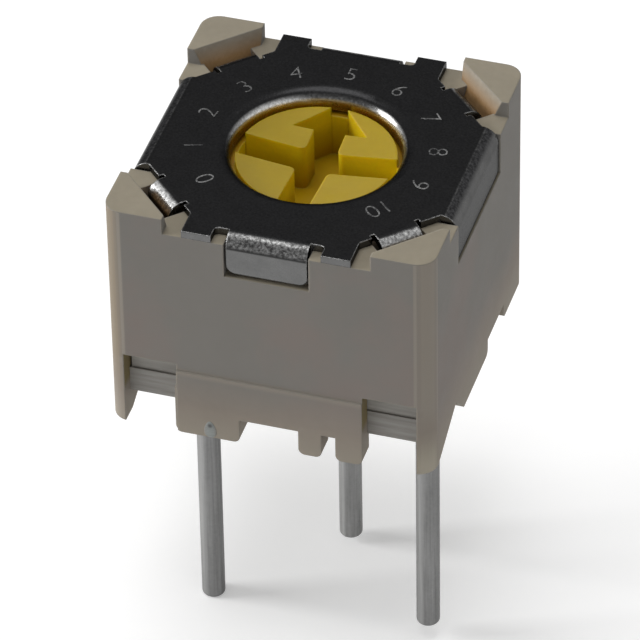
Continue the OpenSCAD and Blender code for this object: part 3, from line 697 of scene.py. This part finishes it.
def text_mesh(words, height, relief):
    """A mesh of the words, centred on the origin, in the XY plane."""
    curve = bpy.data.curves.new("words", "FONT")
    curve.body = words
    capital_share = 0.7
    curve.size = height / capital_share
    curve.align_x = "CENTER"
    curve.align_y = "CENTER"
    thinner = -0.026
    curve.offset = height * thinner
    curve.extrude = relief
    curve.resolution_u = 4
    carrier = bpy.data.objects.new("words", curve)
    bpy.context.scene.collection.objects.link(carrier)
    bpy.context.view_layer.update()
    mesh = bpy.data.meshes.new_from_object(carrier.evaluated_get(bpy.context.evaluated_depsgraph_get()))
    bpy.data.objects.remove(carrier)
    bpy.data.curves.remove(curve)
    return mesh


def finished_piece(name, bm, finish, body):
    """Makes an object from the bmesh, at the origin, riding on a body."""
    mesh = bpy.data.meshes.new(name)
    bm.to_mesh(mesh)
    bm.free()
    mesh.materials.append(finish.material)
    piece = bpy.data.objects.new(name, mesh)
    bpy.context.scene.collection.objects.link(piece)
    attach(piece, body)


class TRIMMER_OT_housing(bpy.types.Operator):
    """Finish the moulded housing"""
    bl_idname = "trimmer.housing"
    bl_label = "Housing"

    def execute(self, context):
        paint(moulded_housing(), "housing")
        return {"FINISHED"}


class TRIMMER_OT_cover(bpy.types.Operator):
    """Finish the folded metal cover"""
    bl_idname = "trimmer.cover"
    bl_label = "Cover"

    def execute(self, context):
        paint(folded_cover(), "cover")
        return {"FINISHED"}


class TRIMMER_OT_rotor(bpy.types.Operator):
    """Finish the slotted rotor and its seal ring and wiper"""
    bl_idname = "trimmer.rotor"
    bl_label = "Rotor"

    def execute(self, context):
        paint(moulded_rotor(), "rotor")
        paint(plain_finish("Seal rubber", (0.1, 0.03, 0.02), 0.0, 0.5, 0.7), "o_ring")
        paint(plain_finish("Wiper alloy", (0.72, 0.52, 0.28), 1.0, 0.2, 0.4), "wiper")
        return {"FINISHED"}


class TRIMMER_OT_inside(bpy.types.Operator):
    """Finish the substrate, its films, the solder and the resin"""
    bl_idname = "trimmer.inside"
    bl_label = "Inside"

    def execute(self, context):
        paint(fired_ceramic(), "substrate")
        paint(plain_finish("Cermet film", (0.03, 0.025, 0.02), 0.0, 0.4, 0.6), "resistive_track")
        paint(plain_finish("Silver film", (0.7, 0.69, 0.67), 1.0, 0.35, 0.55),
              "end_electrode_1", "end_electrode_3", "collector_electrode")
        paint(plain_finish("Solder", (0.6, 0.6, 0.59), 1.0, 0.25, 0.45), "solder_1", "solder_2", "solder_3")
        paint(poured_resin(), "sealing_resin")
        return {"FINISHED"}


class TRIMMER_OT_leads(bpy.types.Operator):
    """Finish the three leads"""
    bl_idname = "trimmer.leads"
    bl_label = "Leads"

    def execute(self, context):
        paint(tinned_wire("Tinned wire", 1.0), "lead_1", "lead_3")
        # Lead 2 gets a lighter copy of the finish: painted light.
        paint(tinned_wire("Bright tinned wire", 1.25), "lead_2")
        return {"FINISHED"}


class TRIMMER_OT_dial_numbers(bpy.types.Operator):
    """Put the numbers of the dial on the cover, around the rotor"""
    bl_idname = "trimmer.dial_numbers"
    bl_label = "Dial numbers"

    def execute(self, context):
        size = sizes()
        whole = bmesh.new()
        middle = (size.number_count - 1) / 2
        for number in range(size.number_count):
            mesh = text_mesh(str(number), size.number_height, size.number_relief)
            turn = Matrix.Rotation((middle - number) * size.number_step, 4, "Z")
            mesh.transform(turn @ Matrix.Translation((0, size.number_radius, COVER_TOP)))
            whole.from_mesh(mesh)
            bpy.data.meshes.remove(mesh)
        finished_piece("dial_numbers", whole, worn_numbers(), "base")
        return {"FINISHED"}


class TRIMMER_OT_smear(bpy.types.Operator):
    """Put the smear of resin on the wide foot, over the first lead"""
    bl_idname = "trimmer.smear"
    bl_label = "Resin smear"

    def execute(self, context):
        size = sizes()
        bm = bmesh.new()
        bmesh.ops.create_uvsphere(bm, u_segments=32, v_segments=20, radius=1.0)
        taper = 0.45
        for vertex in bm.verts:
            narrow = 1.0 - taper * (vertex.co.z + 1.0) / 2.0
            vertex.co.x *= size.smear_width / 2 * narrow
            vertex.co.y *= size.smear_relief
            vertex.co.z *= size.smear_height / 2
        middle = (size.smear_x, FEET_FRONT, FEET_LOW + size.smear_height / 2)
        bmesh.ops.translate(bm, verts=bm.verts, vec=middle)
        for face in bm.faces:
            face.smooth = True
        finished_piece("resin_smear", bm, resin_smear(), "base")
        return {"FINISHED"}


class TRIMMER_OT_stage(bpy.types.Operator):
    """Build the floor, the lamps, the world and the camera"""
    bl_idname = "trimmer.stage"
    bl_label = "Stage"

    def execute(self, context):
        pale_floor()
        studio_world()
        for name, place, size, power in LAMPS:
            soft_lamp(name, place, size, power)
        photo_camera()
        return {"FINISHED"}


# Stage parts

def seen_directly(tree):
    """1 for rays from the camera, from gloss and through glass."""
    path = new_node(tree, "ShaderNodeLightPath")
    first = new_node(tree, "ShaderNodeMath", operation="MAXIMUM")
    tree.links.new(path.outputs["Is Camera Ray"], first.inputs[0])
    tree.links.new(path.outputs["Is Glossy Ray"], first.inputs[1])
    second = new_node(tree, "ShaderNodeMath", operation="MAXIMUM")
    tree.links.new(first.outputs[0], second.inputs[0])
    tree.links.new(path.outputs["Is Transmission Ray"], second.inputs[1])
    return second.outputs[0]


def pick_by_ray(tree, unseen, seen, output):
    """Sends one shader to the output where it is seen directly, and another elsewhere."""
    pick = new_node(tree, "ShaderNodeMixShader")
    tree.links.new(seen_directly(tree), pick.inputs[0])
    tree.links.new(unseen.outputs[0], pick.inputs[1])
    tree.links.new(seen.outputs[0], pick.inputs[2])
    tree.links.new(pick.outputs[0], new_node(tree, output).inputs["Surface"])


def pale_floor():
    """A white floor under the leads, which keeps the shadow."""
    bm = bmesh.new()
    bmesh.ops.create_grid(bm, x_segments=1, y_segments=1, size=FLOOR_REACH)
    bmesh.ops.translate(bm, verts=bm.verts, vec=(0, 0, FLOOR_Z))
    mesh = bpy.data.meshes.new("floor")
    bm.to_mesh(mesh)
    bm.free()
    floor = bpy.data.objects.new("floor", mesh)
    bpy.context.scene.collection.objects.link(floor)
    material = bpy.data.materials.new("Pale floor")
    material.use_nodes = True
    tree = material.node_tree
    tree.nodes.clear()
    matte = new_node(tree, "ShaderNodeBsdfDiffuse", {"Color": FLOOR_COLOUR})
    glow = new_node(tree, "ShaderNodeEmission", {"Color": WHITE, "Strength": FLOOR_GLOW})
    both = new_node(tree, "ShaderNodeAddShader")
    tree.links.new(matte.outputs[0], both.inputs[0])
    tree.links.new(glow.outputs[0], both.inputs[1])
    pick_by_ray(tree, matte, both, "ShaderNodeOutputMaterial")
    mesh.materials.append(material)


def studio_world():
    """White where it is seen, and softer as light."""
    world = bpy.data.worlds.new("Studio")
    bpy.context.scene.world = world
    world.use_nodes = True
    tree = world.node_tree
    tree.nodes.clear()
    light = new_node(tree, "ShaderNodeBackground", {"Color": WHITE, "Strength": WORLD_LIGHT})
    white = new_node(tree, "ShaderNodeBackground", {"Color": WHITE, "Strength": WORLD_SEEN})
    pick_by_ray(tree, light, white, "ShaderNodeOutputWorld")


def soft_lamp(name, place, size, power):
    """A square area lamp that faces the part."""
    light = bpy.data.lights.new(name, "AREA")
    light.size = size
    light.energy = power
    lamp = bpy.data.objects.new(name, light)
    lamp.location = place
    lamp.rotation_euler = Vector(place).to_track_quat("Z", "Y").to_euler()
    bpy.context.scene.collection.objects.link(lamp)


def photo_camera():
    """The camera at the photograph's viewing angle."""
    back = Vector((sin(AZIMUTH) * cos(ELEVATION), -cos(AZIMUTH) * cos(ELEVATION), sin(ELEVATION)))
    level = Vector((cos(AZIMUTH), sin(AZIMUTH), 0))
    rise = back.cross(level)
    right = cos(ROLL) * level + sin(ROLL) * rise
    up = cos(ROLL) * rise - sin(ROLL) * level
    cover_middle = Vector((0, 0, COVER_TOP))
    place = cover_middle + SHIFT_RIGHT * right + SHIFT_UP * up + DISTANCE * back
    data = bpy.data.cameras.new("Camera")
    data.sensor_width = SENSOR_WIDTH
    data.lens = FOCAL_LENGTH * SENSOR_WIDTH / PICTURE_WIDTH
    data.clip_start = 0.001
    data.clip_end = 2.0
    camera = bpy.data.objects.new("Camera", data)
    camera.matrix_world = Matrix((
        (right.x, up.x, back.x, place.x),
        (right.y, up.y, back.y, place.y),
        (right.z, up.z, back.z, place.z),
        (0, 0, 0, 1)))
    bpy.context.scene.collection.objects.link(camera)
    bpy.context.scene.camera = camera
    bpy.context.scene.view_settings.view_transform = "Standard"


# Add-on

class TRIMMER_PT_panel(bpy.types.Panel):
    """Lists the steps that dress the trimmer."""
    bl_idname = "TRIMMER_PT_panel"
    bl_label = "Trimmer"
    bl_space_type = "VIEW_3D"
    bl_region_type = "UI"
    bl_category = "Trimmer"

    def draw(self, context):
        column = self.layout.column()
        for step in STEPS:
            column.operator(step.bl_idname)
        for group in (context.scene.trimmer_sizes, context.scene.trimmer_colours):
            for name in group.__annotations__:
                column.prop(group, name)


STEPS = (
    TRIMMER_OT_housing,
    TRIMMER_OT_cover,
    TRIMMER_OT_rotor,
    TRIMMER_OT_inside,
    TRIMMER_OT_leads,
    TRIMMER_OT_dial_numbers,
    TRIMMER_OT_smear,
    TRIMMER_OT_stage,
)
CLASSES = (TrimmerSizes, TrimmerColours, *STEPS, TRIMMER_PT_panel)


def register():
    """Registers the classes and puts the sizes and colours on the scene."""
    for cls in CLASSES:
        bpy.utils.register_class(cls)
    bpy.types.Scene.trimmer_sizes = bpy.props.PointerProperty(type=TrimmerSizes)
    bpy.types.Scene.trimmer_colours = bpy.props.PointerProperty(type=TrimmerColours)


def unregister():
    """Undoes what register does."""
    del bpy.types.Scene.trimmer_colours
    del bpy.types.Scene.trimmer_sizes
    for cls in reversed(CLASSES):
        bpy.utils.unregister_class(cls)


def main():
    """Dresses the part step by step and notes its sizes."""
    register()
    bpy.ops.trimmer.housing()
    bpy.ops.trimmer.cover()
    bpy.ops.trimmer.rotor()
    bpy.ops.trimmer.inside()
    bpy.ops.trimmer.leads()
    bpy.ops.trimmer.dial_numbers()
    bpy.ops.trimmer.smear()
    bpy.ops.trimmer.stage()


if __name__ == "__main__":
    main()
